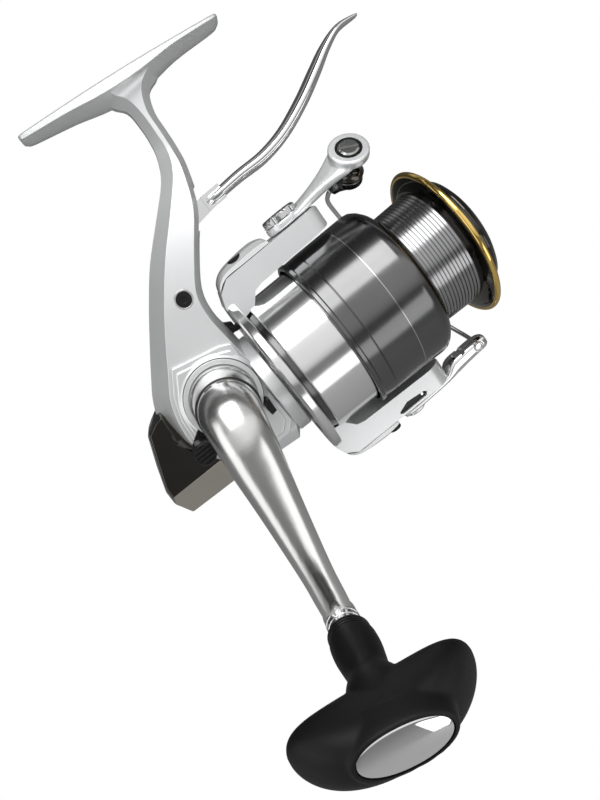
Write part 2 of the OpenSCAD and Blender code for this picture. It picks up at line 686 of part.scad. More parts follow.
module roller_screw() color("lightgray") reel() {
    aim(roller_point - 2.6 * roller_dir, roller_dir) cylinder(h = 2, r = 3);
    aim(roller_point - 0.8 * roller_dir, roller_dir) cylinder(h = 10.2, r = 1.45);
}

module line_roller() color("gray") reel() aim(roller_point + 1.75 * roller_dir, roller_dir)
    rotate_extrude() polygon([
        [2.35, 0], [4.3, 0], [4.3, 0.6], [3.5, 1.6], [3.2, 2.8], [3.5, 4], [4.2, 4.9], [4.2, 5.4], [2.35, 5.4]
    ]);

module roller_bushing() color("lightgray") reel()
aim(roller_point + 1.7 * roller_dir, roller_dir) difference() {
    cylinder(h = 5.5, r = 2.3);
    translate([0, 0, -1]) cylinder(h = 8, r = 1.5);
}

// ---------- spool ----------

lay_front = 74.9;
lay_pitch = 1.05;

module spool() color("dimgray") reel() difference() {
    lathe_x([
        [34.8, 23.4], [34.8, skirt_radius + 0.3], [35.9, skirt_radius + 0.3], [36.1, skirt_radius],
        [58, skirt_radius], [60, skirt_radius - 0.8], [61.6, skirt_radius - 2.6], [62.6, skirt_radius - 5],
        [63, 17.9], [lay_front, 18.3], [75.3, 20.2], [76.2, lip_radius - 1.8], [77.6, lip_radius - 1.8],
        [77.6, 17.4], [76.8, 15.5], [66, 15.5], [66, 3.15], [57.5, 3.15], [57.5, 22], [56, 23.4]
    ]);
    for (i = [0:lay_grooves - 1]) let (front = lay_front - 0.7 - lay_pitch * i)
        ring_x(front - 0.22, front, 20, 17.7);
    ring_x(40, 40.3, 30, skirt_radius - 0.15);
    ring_x(50.4, 50.7, 30, skirt_radius - 0.15);
}

module lip_ring() color("gold") reel()
rotate([0, 90, 0]) rotate_extrude() translate([lip_radius - 0.85, 77.1])
    circle(r = 0.84, $fn = 32);

module drag_washers() color("tan") reel() for (i = [0:4])
    ring_x(66.05 + i * 0.95, 66.9 + i * 0.95, 15.1 - 0.3 * (i % 2), 3.4);

module drag_clip() color("lightgray") reel() ring_x(71.1, 71.7, 15.4, 13.6);

module drag_knob() color("dimgray") reel() difference() {
    lathe_x([
        [72.2, 0], [72.2, 13], [77.9, 13], [77.9, 18.4], [81, 18], [82.6, 16.6], [84, 13], [84.8, 7], [85, 0]
    ]);
    rod_x(70, 80.6, shaft_radius + run);
    rod_x(70, 75.2, 5);
}

// ---------- nodes ----------

body();
right_cover();
left_cover();
tail_guard();
cover_screws();
stem_screw();
right_bearing();
left_bearing();
left_cap();
reverse_lever();
brake_lever();
lever_pin();
lever_spring();
brake_rod();
brake_shoe();
drive_gear();
drive_shaft();
handle_collar();
handle_seal();
handle_screw();
handle_arm();
arm_ferrule();
knob_shaft();
knob_collar();
knob();
knob_bearings();
knob_plate();
knob_screw();
crosswind_gear();
main_shaft();
slider();
spool_sleeve();
drag_spring();
pinion();
pinion_bearing();
one_way_clutch();
rotor();
rotor_nut();
brake_drum();
upper_arm_cover();
lower_arm_cover();
arm_cover_screws();
bail_spring();
bail_arm();
bail_pivots();
wire_holder();
bail_wire();
bail_lever();
roller_screw();
line_roller();
roller_bushing();
spool();
lip_ring();
drag_washers();
drag_clip();
drag_knob();
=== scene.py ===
"""Looks of the lever-brake spinning reel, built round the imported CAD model."""
import json
import math

import bmesh
import bpy
from mathutils import Matrix, Vector


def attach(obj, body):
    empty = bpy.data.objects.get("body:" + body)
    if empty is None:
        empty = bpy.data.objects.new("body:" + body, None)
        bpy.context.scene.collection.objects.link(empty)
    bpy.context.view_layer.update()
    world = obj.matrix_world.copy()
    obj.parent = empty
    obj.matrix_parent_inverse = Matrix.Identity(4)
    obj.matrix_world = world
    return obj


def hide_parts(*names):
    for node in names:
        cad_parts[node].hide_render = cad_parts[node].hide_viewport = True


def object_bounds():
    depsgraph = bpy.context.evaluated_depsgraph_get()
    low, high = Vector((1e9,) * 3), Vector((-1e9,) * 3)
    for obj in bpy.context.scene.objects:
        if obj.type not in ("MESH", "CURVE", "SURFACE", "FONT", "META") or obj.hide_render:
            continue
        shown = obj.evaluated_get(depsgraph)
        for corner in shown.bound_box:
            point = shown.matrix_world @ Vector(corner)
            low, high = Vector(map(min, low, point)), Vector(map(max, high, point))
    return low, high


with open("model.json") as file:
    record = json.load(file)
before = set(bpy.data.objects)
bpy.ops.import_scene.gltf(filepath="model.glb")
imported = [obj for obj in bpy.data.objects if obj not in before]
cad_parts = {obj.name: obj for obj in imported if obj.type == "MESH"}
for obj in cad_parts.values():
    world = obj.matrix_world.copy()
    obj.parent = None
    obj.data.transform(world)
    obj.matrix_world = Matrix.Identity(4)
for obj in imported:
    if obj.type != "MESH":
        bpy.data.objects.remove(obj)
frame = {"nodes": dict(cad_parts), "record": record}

CAD_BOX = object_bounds()

# The mechanism has its own frame in millimetres: X along the spool axis, Y along the handle axis.
MM = 0.001
TILT = math.radians(7.5)
FOOT = Vector((30.3, 0, 85.4))
TURN = Matrix.Rotation(-TILT, 3, "Y")
TO_ROW = Matrix.Scale(MM, 4) @ TURN.to_4x4() @ Matrix.Translation(-FOOT)

# ---------- camera, floor and light ----------

# Viewpoint, with its right and its ahead directions.
CAMERA_SPOT = (10.9, -184.5, 46.6)
CAMERA_RIGHT = (0.7778, -0.1768, -0.6031)
CAMERA_AHEAD = (-0.0488, 0.9397, -0.3384)
SENSOR_WIDTH = 36
LENS = 28.79
LENS_SHIFT = (0.023, 0.071)
NEAREST = 0.01


def aim(right, ahead):
    """Rotation of a camera or a light from its right and its ahead directions in the mechanism frame."""
    x = (TURN @ Vector(right)).normalized()
    z = -(TURN @ Vector(ahead)).normalized()
    y = z.cross(x).normalized()
    x = y.cross(z)
    return Matrix((x, y, z)).transposed()


def add_camera():
    data = bpy.data.cameras.new("camera")
    data.sensor_width = SENSOR_WIDTH
    data.lens = LENS
    data.shift_x, data.shift_y = LENS_SHIFT
    data.clip_start = NEAREST
    camera = bpy.data.objects.new("camera", data)
    bpy.context.collection.objects.link(camera)
    turn = aim(CAMERA_RIGHT, CAMERA_AHEAD)
    camera.matrix_world = Matrix.LocRotScale(TO_ROW @ Vector(CAMERA_SPOT), turn, None)
    bpy.context.scene.camera = camera


def add_softbox(name, spot, ahead, size, power):
    data = bpy.data.lights.new(name, "AREA")
    data.shape = "RECTANGLE"
    data.size, data.size_y = size
    data.energy = power
    light = bpy.data.objects.new(name, data)
    bpy.context.collection.objects.link(light)
    light.matrix_world = Matrix.LocRotScale(TO_ROW @ Vector(spot), aim((1, 0, 0.01), ahead), None)


STUDIO_LEVEL = 0.85
# Brightness of the studio round the spool axis: degrees from the near side up over the top, then the level.
STUDIO_BANDS = [
    (-180, 0.1), (-150, 0.28), (-110, 0.5), (-70, 0.42), (-40, 0.5), (-8, 0.62), (6, 1), (38, 1.1),
    (50, 0.45), (66, 0.85), (82, 0.12), (112, 0.1), (124, 0.6), (138, 0.1), (180, 0.08),
]


def add_world():
    """Pure white to the camera; for the reflections, a studio with strip lights along the spool axis."""
    world = bpy.data.worlds.new("studio")
    bpy.context.scene.world = world
    world.use_nodes = True
    nodes, links = world.node_tree.nodes, world.node_tree.links
    nodes.clear()
    out = nodes.new("ShaderNodeOutputWorld")
    mix = nodes.new("ShaderNodeMixShader")
    seen = nodes.new("ShaderNodeLightPath")
    white = nodes.new("ShaderNodeBackground")
    studio = nodes.new("ShaderNodeBackground")
    coords = nodes.new("ShaderNodeTexCoord")
    straight = nodes.new("ShaderNodeMapping")
    split = nodes.new("ShaderNodeSeparateXYZ")
    near = nodes.new("ShaderNodeMath")
    angle = nodes.new("ShaderNodeMath")
    share = nodes.new("ShaderNodeMapRange")
    ramp = nodes.new("ShaderNodeValToRGB")
    ends = nodes.new("ShaderNodeMapRange")
    white.inputs["Color"].default_value = (1, 1, 1, 1)
    straight.inputs["Rotation"].default_value = (0, TILT, 0)
    near.operation = "MULTIPLY"
    near.inputs[1].default_value = -1
    angle.operation = "ARCTAN2"
    share.inputs["From Min"].default_value = -math.pi
    share.inputs["From Max"].default_value = math.pi
    ends.inputs["From Min"].default_value = -1
    ends.inputs["From Max"].default_value = 0.2
    ends.inputs["To Min"].default_value = 0.3
    ends.inputs["To Max"].default_value = STUDIO_LEVEL
    for _ in STUDIO_BANDS[2:]:
        ramp.color_ramp.elements.new(0.5)
    for element, (degrees, level) in zip(ramp.color_ramp.elements, STUDIO_BANDS):
        element.position = 0.5 + degrees / 360
        element.color = (level, level, level, 1)
    links.new(coords.outputs["Generated"], straight.inputs["Vector"])
    links.new(straight.outputs["Vector"], split.inputs["Vector"])
    links.new(split.outputs["Y"], near.inputs[0])
    links.new(split.outputs["Z"], angle.inputs[0])
    links.new(near.outputs["Value"], angle.inputs[1])
    links.new(angle.outputs["Value"], share.inputs["Value"])
    links.new(share.outputs["Result"], ramp.inputs["Fac"])
    links.new(split.outputs["X"], ends.inputs["Value"])
    links.new(ramp.outputs["Color"], studio.inputs["Color"])
    links.new(ends.outputs["Result"], studio.inputs["Strength"])
    links.new(seen.outputs["Is Camera Ray"], mix.inputs["Fac"])
    links.new(studio.outputs["Background"], mix.inputs[1])
    links.new(white.outputs["Background"], mix.inputs[2])
    links.new(mix.outputs["Shader"], out.inputs["Surface"])


def add_floor():
    """Plain pale floor, well under the reel, as white to the camera as the studio behind."""
    mesh = bpy.data.meshes.new("floor")
    reach = 3
    depth = CAD_BOX[0].z - 0.12
    corners = [(-reach, -reach, depth), (reach, -reach, depth), (reach, reach, depth), (-reach, reach, depth)]
    mesh.from_pydata(corners, [], [(0, 1, 2, 3)])
    floor = bpy.data.objects.new("floor", mesh)
    bpy.context.collection.objects.link(floor)
    paper = bpy.data.materials.new("floor_paper")
    paper.use_nodes = True
    nodes, links = paper.node_tree.nodes, paper.node_tree.links
    shader = nodes["Principled BSDF"]
    shader.inputs["Base Color"].default_value = (0.55, 0.55, 0.55, 1)
    shader.inputs["Roughness"].default_value = 0.9
    glow = nodes.new("ShaderNodeEmission")
    mix = nodes.new("ShaderNodeMixShader")
    seen = nodes.new("ShaderNodeLightPath")
    links.new(seen.outputs["Is Camera Ray"], mix.inputs["Fac"])
    links.new(shader.outputs["BSDF"], mix.inputs[1])
    links.new(glow.outputs["Emission"], mix.inputs[2])
    links.new(mix.outputs["Shader"], nodes["Material Output"].inputs["Surface"])
    mesh.materials.append(paper)


add_camera()
add_world()
add_floor()
add_softbox("key", (60, -170, 230), (-0.1, 0.6, -0.8), (0.28, 0.16), 0.5)
add_softbox("side", (-190, -120, 60), (0.85, 0.5, -0.15), (0.12, 0.3), 0.12)
add_softbox("low", (120, -210, -120), (-0.35, 0.8, 0.45), (0.25, 0.1), 0.1)
bpy.context.scene.view_settings.view_transform = "Standard"


# ---------- materials ----------


def tone(colour, share):
    return tuple(min(1, c * share) for c in colour) + (1,)


def surface(name, colour, metallic, roughness, *, spread=0.06, uneven=0.15, grain=1500, bump=0.02,
            lines=None, coat=0, specular=0.5, blotch=70):
    """Procedural finish: two tones in soft blotches, uneven roughness, fine bump and optional lines.

    lines is the scale along the mechanism's X, Y and Z: a large number rules fine lines across its axis."""
    made = bpy.data.materials.new(name)
    made.use_nodes = True
    nodes, links = made.node_tree.nodes, made.node_tree.links
    shader = nodes["Principled BSDF"]
    coords = nodes.new("ShaderNodeTexCoord")
    straight = nodes.new("ShaderNodeMapping")
    straight.inputs["Rotation"].default_value = (0, TILT, 0)
    links.new(coords.outputs["Object"], straight.inputs["Vector"])

    def noise(scale, detail, vector=straight):
        texture = nodes.new("ShaderNodeTexNoise")
        texture.inputs["Scale"].default_value = scale
        texture.inputs["Detail"].default_value = detail
        links.new(vector.outputs["Vector"], texture.inputs["Vector"])
        return texture.outputs["Fac"]

    def between(value, low, high):
        spread_out = nodes.new("ShaderNodeMapRange")
        spread_out.inputs["From Min"].default_value = 0.3
        spread_out.inputs["From Max"].default_value = 0.7
        spread_out.inputs["To Min"].default_value = low
        spread_out.inputs["To Max"].default_value = high
        links.new(value, spread_out.inputs["Value"])
        return spread_out.outputs["Result"]

    fine = noise(grain, 3)
    if lines:
        ruled = nodes.new("ShaderNodeMapping")
        ruled.inputs["Scale"].default_value = lines
        links.new(straight.outputs["Vector"], ruled.inputs["Vector"])
        fine = noise(1, 2, ruled)
    mix = nodes.new("ShaderNodeMix")
    mix.data_type = "RGBA"
    mix.inputs["A"].default_value = tone(colour, 1 - spread)
    mix.inputs["B"].default_value = tone(colour, 1 + spread)
    links.new(between(noise(blotch, 4), 0, 1), mix.inputs["Factor"])
    links.new(mix.outputs["Result"], shader.inputs["Base Color"])
    links.new(between(fine, roughness * (1 - uneven), roughness * (1 + uneven)), shader.inputs["Roughness"])
    relief = nodes.new("ShaderNodeBump")
    relief.inputs["Strength"].default_value = bump
    relief.inputs["Distance"].default_value = 0.0002
    links.new(fine, relief.inputs["Height"])
    links.new(relief.outputs["Normal"], shader.inputs["Normal"])
    shader.inputs["Metallic"].default_value = metallic
    shader.inputs["Coat Weight"].default_value = coat
    shader.inputs["Coat Roughness"].default_value = 0.08
    shader.inputs["Specular IOR Level"].default_value = specular
    return made


MATERIALS = {
    "silver_paint": surface(
        "silver_paint", (0.87, 0.88, 0.885), 0.55, 0.34,
        grain=6000, bump=0.035, coat=0.3, spread=0.02),
    "satin_metal": surface("satin_metal", (0.80, 0.80, 0.79), 1, 0.24, grain=5000, bump=0.03, spread=0.03),
    "polished": surface(
        "polished", (0.93, 0.93, 0.935), 1, 0.05,
        spread=0.02, uneven=0.3, grain=400, bump=0.001),
    "bright_rotor": surface(
        "bright_rotor", (0.84, 0.84, 0.84), 1, 0.15,
        lines=(9000, 60, 60), bump=0.05, spread=0.02),
    "dark_chrome": surface("dark_chrome", (0.10, 0.095, 0.085), 1, 0.08, spread=0.1, uneven=0.4, bump=0.01),
    "black_plastic": surface(
        "black_plastic", (0.006, 0.006, 0.006), 0, 0.3,
        grain=3000, bump=0.1, spread=0.2, specular=0.4),
    "soft_touch": surface(
        "soft_touch", (0.004, 0.004, 0.0045), 0, 0.5,
        grain=5000, bump=0.15, spread=0.2, specular=0.28),
    "seal_rubber": surface("seal_rubber", (0.008, 0.008, 0.008), 0, 0.38, grain=3000, bump=0.1, spread=0.2),
    "steel": surface("steel", (0.62, 0.62, 0.61), 1, 0.2, lines=(3000, 3000, 300), bump=0.04),
    "brass": surface("brass", (0.7, 0.5, 0.24), 1, 0.26, lines=(400, 5000, 400), bump=0.06, spread=0.1),
    "gold": surface("gold", (0.95, 0.66, 0.2), 1, 0.1, spread=0.04, uneven=0.3, bump=0.01),
    "gunmetal": surface(
        "gunmetal", (0.17, 0.17, 0.172), 1, 0.17,
        lines=(9000, 60, 60), bump=0.04, spread=0.05),
    "spring_steel": surface("spring_steel", (0.42, 0.42, 0.41), 1, 0.3, grain=3000, bump=0.05),
    "drag_felt": surface("drag_felt", (0.35, 0.27, 0.18), 0, 0.85, grain=2500, bump=0.6, spread=0.3),
    # Painted reflection: a light tone for the rear guard's downward faces, in place of the dark chrome.
    "guard_underside_reflection": surface("guard_underside_reflection", (0.62, 0.58, 0.52), 1, 0.16, spread=0.04, uneven=0.3, bump=0.01),
    "lay_metal": surface(
        "lay_metal", (0.36, 0.36, 0.365), 1, 0.2,
        lines=(9000, 60, 60), bump=0.04, spread=0.04),
    "bright_line": surface("bright_line", (0.5, 0.5, 0.5), 1, 0.2, spread=0.03, bump=0.01),
    "black_screw": surface(
        "black_screw", (0.018, 0.018, 0.018), 0.6, 0.35,
        grain=3000, bump=0.06, spread=0.2),
}
# Finishes that only this script has, and the record's slot each one stands for; guard_underside_reflection is
# a painted reflection, a lighter tone on the rear guard's downward faces.
SLOT_OF = {"guard_underside_reflection": "dark_chrome", "lay_metal": "gunmetal", "bright_line": "polished"}
SLOTS = {part["node"]: part["material_slot"] for part in frame["record"]["subparts"]}

for node, piece in frame["nodes"].items():
    piece.data.materials.clear()
    piece.data.materials.append(MATERIALS[SLOTS[node]])

# ---------- mesh helpers, in millimetres of the mechanism frame ----------

FROM_ROW = TO_ROW.inverted() @ Matrix.Scale(MM, 4)


def unit(vector):
    return Vector(vector).normalized()


def loft(rings, loop=False):
    """Skin over rings with equal numbers of points; loop joins the last ring to the first."""
    count, last = len(rings[0]), len(rings) - 1
    points = [Vector(p) for ring in rings for p in ring]
    faces = []
    for i in range(last + 1 if loop else last):
        here, there = i * count, (i + 1) % (last + 1) * count
        for j in range(count):
            k = (j + 1) % count
            faces.append((here + j, here + k, there + k, there + j))
    if not loop:
        faces.append(tuple(reversed(range(count))))
        faces.append(tuple(last * count + j for j in range(count)))
    return points, faces


def join(*shapes):
    points, faces = [], []
    for more_points, more_faces in shapes:
        start = len(points)
        points += more_points
        faces += [tuple(start + i for i in face) for face in more_faces]
    return points, faces


def turned(profile, origin, axis, loop=False, steps=112):
    """Turned part; profile is a list of (distance along the axis, radius)."""
    origin, axis = Vector(origin), unit(axis)
    side = axis.orthogonal().normalized()
    up = axis.cross(side)
    turns = [math.tau * k / steps for k in range(steps)]
    rings = []
    for along, radius in profile:
        middle = origin + axis * along
        rings.append([middle + radius * (math.cos(t) * side + math.sin(t) * up) for t in turns])
    return loft(rings, loop)


def torus(radius, wire, origin, axis, steps=128, around=20):
    turns = [math.tau * k / around for k in range(around)]
    section = [(wire * math.sin(t), radius + wire * math.cos(t)) for t in turns]
    return turned(section, origin, axis, True, steps)


def plate(outline, y0, y1):
    """Plate with its outline in XZ."""
    return loft([[(x, y, z) for x, z in outline] for y in (y0, y1)])


def spline(stations, steps):
    """Catmull-Rom run through a list of equally long number lists."""
    rows, last = [], len(stations) - 1
    for i in range(last):
        a, b, c, d = (stations[max(0, min(last, k))] for k in (i - 1, i, i + 1, i + 2))
        for k in range(steps):
            t = k / steps
            rows.append([(2 * q + (r - p) * t + (2 * p - 5 * q + 4 * r - s) * t * t
                          + (3 * q - p - 3 * r + s) * t ** 3) / 2 for p, q, r, s in zip(a, b, c, d)])
    return rows + [list(stations[last])]


def soft(value, power):
    return math.copysign(abs(value) ** (2 / power), value)


def oval(centre, u, v, a, b, power=2.0, count=40):
    """Superellipse ring with half sizes a along u and b along v."""
    turns = [math.tau * k / count for k in range(count)]
    return [
        Vector(centre) + a * soft(math.cos(t), power) * u + b * soft(math.sin(t), power) * v
        for t in turns
    ]


def sweep(stations, side, power=2.0, count=40):
    """Limb along rows of x, y, z, half width and half thickness; side is the direction of the half width."""
    path = [Vector(row[:3]) for row in stations]
    rings = []
    for i, row in enumerate(stations):
        ahead = unit(path[min(i + 1, len(path) - 1)] - path[max(i - 1, 0)])
        u = unit(Vector(side) - ahead * Vector(side).dot(ahead))
        rings.append(oval(path[i], u, ahead.cross(u), row[3], row[4], power, count))
    return loft(rings)


def settle(piece):
    """Applies the piece's modifiers to its mesh."""
    bpy.context.view_layer.update()
    final = bpy.data.meshes.new_from_object(piece.evaluated_get(bpy.context.evaluated_depsgraph_get()))
    piece.modifiers.clear()
    piece.data = final


def tidy_mesh(mesh):
    work = bmesh.new()
    work.from_mesh(mesh)
    bmesh.ops.remove_doubles(work, verts=work.verts, dist=1e-7)
    bmesh.ops.recalc_face_normals(work, faces=work.faces)
    work.to_mesh(mesh)
    work.free()


def build(name, shape, finish):
    points, faces = shape
    mesh = bpy.data.meshes.new(name)
    mesh.from_pydata([TO_ROW @ p for p in points], [], faces)
    tidy_mesh(mesh)
    mesh.materials.append(MATERIALS[finish])
    piece = bpy.data.objects.new(name, mesh)
    bpy.context.collection.objects.link(piece)
    return piece


def carve(piece, *cutters):
    for cutter in cutters:
        tool = build("cutter", cutter, "steel")
        change = piece.modifiers.new("carve", "BOOLEAN")
        change.operation = "DIFFERENCE"
        change.solver = "EXACT"
        change.object = tool
        settle(piece)
        bpy.data.objects.remove(tool)


def melt(piece, voxel, passes):
    """Joins overlapping shells into one skin with soft fillets; voxel is in millimetres."""
    change = piece.modifiers.new("melt", "REMESH")
    change.mode = "VOXEL"
    change.voxel_size = voxel * MM
    smoother = piece.modifiers.new("smooth", "SMOOTH")
    smoother.factor = 0.5
    smoother.iterations = passes
    settle(piece)


def finish(piece, slot_name, body, nodes=(), bevel=0.0, sharp=32, segments=3):
    piece.data.shade_smooth()
    if bevel:
        round_off = piece.modifiers.new("bevel", "BEVEL")
        round_off.width = bevel * MM
        round_off.segments = segments
        round_off.limit_method = "ANGLE"
        round_off.angle_limit = math.radians(sharp)
        round_off.harden_normals = True
        round_off.use_clamp_overlap = True
    else:
        piece.data.set_sharp_from_angle(angle=math.radians(sharp))
    if nodes:
        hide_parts(*nodes)
    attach(piece, body)
    return piece


def add(name, shape, finish_name, body, nodes=(), bevel=0.0, sharp=32, segments=3):
    piece = build(name, shape, finish_name)
    return finish(piece, SLOT_OF.get(finish_name, finish_name), body, nodes, bevel, sharp, segments)


# ---------- driving sizes ----------

DRIVE = (0, 0, 8.3)
OUT = (0, -1, 0)
AXLE = (1, 0, 0)
UP = (0, 0, 1)
DOWN = (0, 0, -1)
CENTRE = (0, 0, 0)
STEM_SCREW = (8.6, 0, 35)
REVERSE_POST = (-13.2, 0, 1)
SEAL_SPOT = (0, -26.85, DRIVE[2])
CRANK_LEAN = math.radians(11.2)
CRANK_DIR = Vector((-math.sin(CRANK_LEAN), 0, -math.cos(CRANK_LEAN)))
CRANK_SIDE = Vector((math.cos(CRANK_LEAN), 0, -math.sin(CRANK_LEAN)))
KNOB = Vector(DRIVE) + 57.6 * CRANK_DIR
KNOB_SPOT = (KNOB.x, 0, KNOB.z)
KNOB_TURN = math.radians(-13.9)
BAR_DIR = Vector((math.cos(KNOB_TURN), 0, math.sin(KNOB_TURN)))
BAR_SIDE = Vector((-math.sin(KNOB_TURN), 0, math.cos(KNOB_TURN)))
PIVOT_X = 43
PIVOT = (PIVOT_X, 0, 0)
WIRE_NUT = (69, 0, -31)
ARM_HALF = 6.5
LIP_SPOT = (77.1, 0, 0)
ROLLER = Vector((67, -5, 37))
ROLLER_DIR = unit((-0.209, 0.732, -0.649))

# ---------- body, foot and covers ----------

# Rear outer, rear face, front face and front outer edges as x, z pairs, then the half width.
BODY = [
    (24, 84, 26, 84, 38, 84, 40, 83, 6.3),
    (24.7, 80.9, 26.7, 82, 37, 81.8, 38.5, 79.8, 6),
    (27, 78.1, 28.8, 79.4, 33.5, 80, 34.6, 78.3, 5.2),
    (27.4, 74.3, 29.6, 75, 31, 75.3, 32.6, 74, 4.8),
    (27.1, 69.6, 29.5, 69.9, 30.6, 69.9, 32.3, 69.6, 4.7),
    (26, 65.4, 29, 65.1, 30.2, 64.8, 31.9, 64.4, 4.8),
    (23, 60.6, 26.6, 60.2, 29.2, 59.6, 30.9, 59.2, 5.6),
    (15.8, 54.3, 19.6, 53.2, 25.3, 50.8, 27.3, 50.2, 7.5),
    (7.3, 47, 11.5, 45.7, 18.5, 42.6, 20.4, 42, 9),
    (-0.1, 39, 4.2, 37.7, 12.3, 34.4, 14.3, 33.7, 9.5),
    (-6.3, 31.6, -1.7, 30.4, 10.8, 27.4, 12.7, 26.9, 9.5),
    (-12.3, 24.2, -7.3, 22.8, 11.2, 20.2, 13.3, 20, 9.5),
    (-17, 17.8, -11.8, 16.6, 12, 12, 13.7, 12, 9.5),
    (-19.8, 10.8, -14.3, 9.8, 12, 4, 13.7, 4, 9.5),
    (-19.4, 2.8, -15.2, 2.2, 12, -4, 13.7, -4, 9.5),
    (-16, -7, -12.8, -5.6, 11.6, -10, 13.5, -11, 9.5),
    (-11, -12.4, -9.3, -10.8, 10.6, -12.6, 12.6, -14, 9.5),
    (-8.6, -14.4, -7.6, -14.5, 9.6, -16, 11, -16.1, 7.5),
]
RIDGE = 1.6
# Place along the rod, half width, edge thickness and keel depth.
FOOT_BLADE = [
    (-28.5, 3.2, 0.9, 1.7), (-28, 4.2, 1.1, 2.0), (-26, 5, 1.4, 2.6), (-15, 6.3, 1.9, 3.6), (-5, 7, 2.6, 5),
    (5, 7, 2.4, 5), (15, 6.3, 1.3, 3.2), (26, 5, 0.9, 2.4), (28, 4.2, 0.75, 1.8), (28.5, 3.2, 0.7, 1.5),
]


def body_ring(s):
    w = s[8]
    return [(s[6], RIDGE, s[7]), (s[6], -RIDGE, s[7]), (s[4], -w, s[5]), (s[2], -w, s[3]),
            (s[0], -RIDGE, s[1]), (s[0], RIDGE, s[1]), (s[2], w, s[3]), (s[4], w, s[5])]


def blade_ring(s):
    x, w, edge, keel = s
    drop = keel - edge
    half = [
        (w - 0.5, 0), (w, -0.45), (w, -edge), (0.8 * w, -edge - 0.3 * drop),
        (0.5 * w, -edge - 0.8 * drop), (0.22 * w, -keel),
    ]
    ring = half + [(-y, z) for y, z in reversed(half)]
    return [FROM_ROW @ Vector((x, y, z)) for y, z in ring]


def make_body():
    shell = build("reel_body", loft([body_ring(s) for s in spline(BODY, 4)]), "silver_paint")
    slot = plate([(14.2, 45.6), (14.2, 50.8), (18.2, 52.8), (36, 55.8), (36, 46.4), (25, 45.6)], -3.2, 3.2)
    recess = turned([(8.6, 2.6), (12, 2.6)], STEM_SCREW, OUT, steps=48)
    carve(shell, slot, recess)
    finish(shell, "silver_paint", "frame", ["body"], bevel=0.55, sharp=22)
    blade = loft([blade_ring(s) for s in spline(FOOT_BLADE, 4)])
    add("reel_foot", blade, "silver_paint", "frame", bevel=0.3, sharp=28)
    neck = [(11.3, 15.4), (11.3, 16), (15.3, 16), (15.3, 9.5), (24, 9.5), (24, 8)]
    add("neck", turned(neck, CENTRE, AXLE), "silver_paint", "frame", bevel=0.4)
    rim = [(9.2, 2.15), (9.2, 2.6), (9.65, 2.6), (9.65, 2.15)]
    add("stem_screw_rim", turned(rim, STEM_SCREW, OUT, True, 48), "satin_metal", "frame", bevel=0.1)
    disc = turned([(8.5, 2.2), (9.3, 2.2)], STEM_SCREW, OUT, steps=48)
    head = build("stem_screw_head", disc, "black_screw")
    carve(head, turned([(8.8, 1.0), (10, 1.0)], STEM_SCREW, OUT, steps=6))
    finish(head, "black_screw", "frame", ["stem_screw"], bevel=0.1)


COVER = [
    (-6.0, 23.3), (8, 20.1), (11.1, 18.6), (11.1, -9), (8, -12), (-6.5, -12), (-11.5, -6.5), (-14.4, 2),
    (-13.2, 10.5), (-10.6, 16.8),
]


def shrink(outline, share):
    middle = (sum(p[0] for p in outline) / len(outline), sum(p[1] for p in outline) / len(outline))
    return [(middle[0] + (x - middle[0]) * share, middle[1] + (z - middle[1]) * share) for x, z in outline]


def make_covers():
    boss = [
        (9.6, 12.6), (11.3, 12.4), (11.9, 10.6), (12.2, 10.2), (12.2, 11), (12.9, 11), (12.9, 9.6),
        (12.5, 9.3), (12.5, 8.6),
    ]
    rise = loft([[(x, -y, z) for x, z in shrink(COVER, k)] for y, k in ((10.4, 0.93), (11.5, 0.9))])
    cover = join(plate(COVER, -9.5, -11.1), rise)
    add("handle_side_cover", cover, "silver_paint", "frame", ["right_cover"], bevel=0.45)
    add("handle_side_boss", turned(boss, DRIVE, OUT), "silver_paint", "frame", bevel=0.15)
    rise = loft([[(x, y, z) for x, z in shrink(COVER, k)] for y, k in ((10.4, 0.93), (11.5, 0.9))])
    cover = join(plate(COVER, 9.5, 11.1), rise)
    add("far_side_cover", cover, "silver_paint", "frame", ["left_cover"], bevel=0.45)
    boss = [(9.6, 11.6), (11.4, 11.4), (12.2, 10.1), (12.6, 9.9), (12.6, 7.2)]
    add("far_side_boss", turned(boss, DRIVE, (0, 1, 0)), "silver_paint", "frame", bevel=0.15)
    cap = [(12.6, 7), (14.2, 7), (14.9, 6.6), (15.2, 5.8), (15.2, 3), (14.8, 2.6)]
    add("far_side_cap", turned(cap, DRIVE, (0, 1, 0)), "satin_metal", "frame", ["left_cap"], bevel=0.15)


GUARD_FACE = [
    (-16.6, 14.9), (-18.8, 14.6), (-22.7, 12.7), (-26.2, 5.2), (-29.4, -1.9), (-29.9, -5.6),
    (-20, -5.6), (-11.5, -5.6), (-13.3, -3.6), (-16.5, 2.3), (-18.3, 6.2),
]
# The rim's front edge stands clear of the slider at the back of its stroke.
GUARD_RIM = [
    (-17, 15.1), (-19.9, 14.6), (-24, 12.2), (-28, 3.8), (-31.4, -4.4), (-31.8, -9),
    (-29.4, -14.4), (-11, -14.9), (-12.7, -9.6), (-12.9, -2), (-14.5, 5),
]


def make_tail_guard():
    layers = [(-9.9, GUARD_FACE), (-4.4, GUARD_RIM), (4.4, GUARD_RIM), (9.9, GUARD_FACE)]
    skin = loft([[(x, y, z) for x, z in outline] for y, outline in layers])
    shell = build("rear_guard", skin, "dark_chrome")
    # Painted reflection: faces that point downwards get a lighter tone than the dark chrome.
    shell.data.materials.append(MATERIALS["guard_underside_reflection"])
    for face in shell.data.polygons:
        down = TURN.inverted() @ face.normal
        if down.z < -0.25 and abs(down.x) < 0.8:
            face.material_index = 1
    finish(shell, "dark_chrome", "frame", ["tail_guard"], bevel=0.5, sharp=15)


